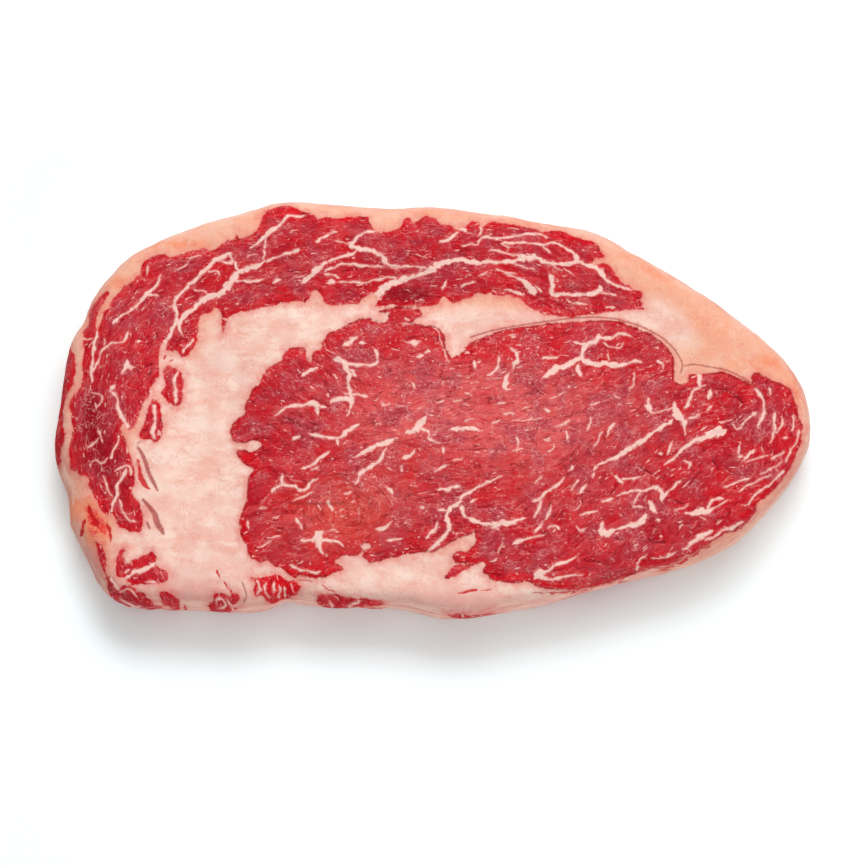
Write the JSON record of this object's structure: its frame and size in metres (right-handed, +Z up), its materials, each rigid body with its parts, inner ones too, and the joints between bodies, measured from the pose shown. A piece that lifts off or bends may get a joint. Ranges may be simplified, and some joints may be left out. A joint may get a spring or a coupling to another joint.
{
  "type": "raw ribeye steak",
  "caption": "Raw boneless ribeye steak, one thick slice lying flat, with an eye muscle, a cap muscle and fat between them and round the rim.",
  "frame": {"origin": "centre of the footprint, on the surface the steak lies on", "axes": "+X along the slice towards its narrow end, +Y towards the edge with the cap muscle, +Z up through the thickness"},
  "size_m": [0.2104, 0.1166, 0.026],
  "materials": {
    "raw_beef": "moist raw beef: red lean with creamy white marbling and fat, soft wet sheen"
  },
  "bodies": {
    "root": {"steak": "raw_beef"}
  },
  "joints": []
}
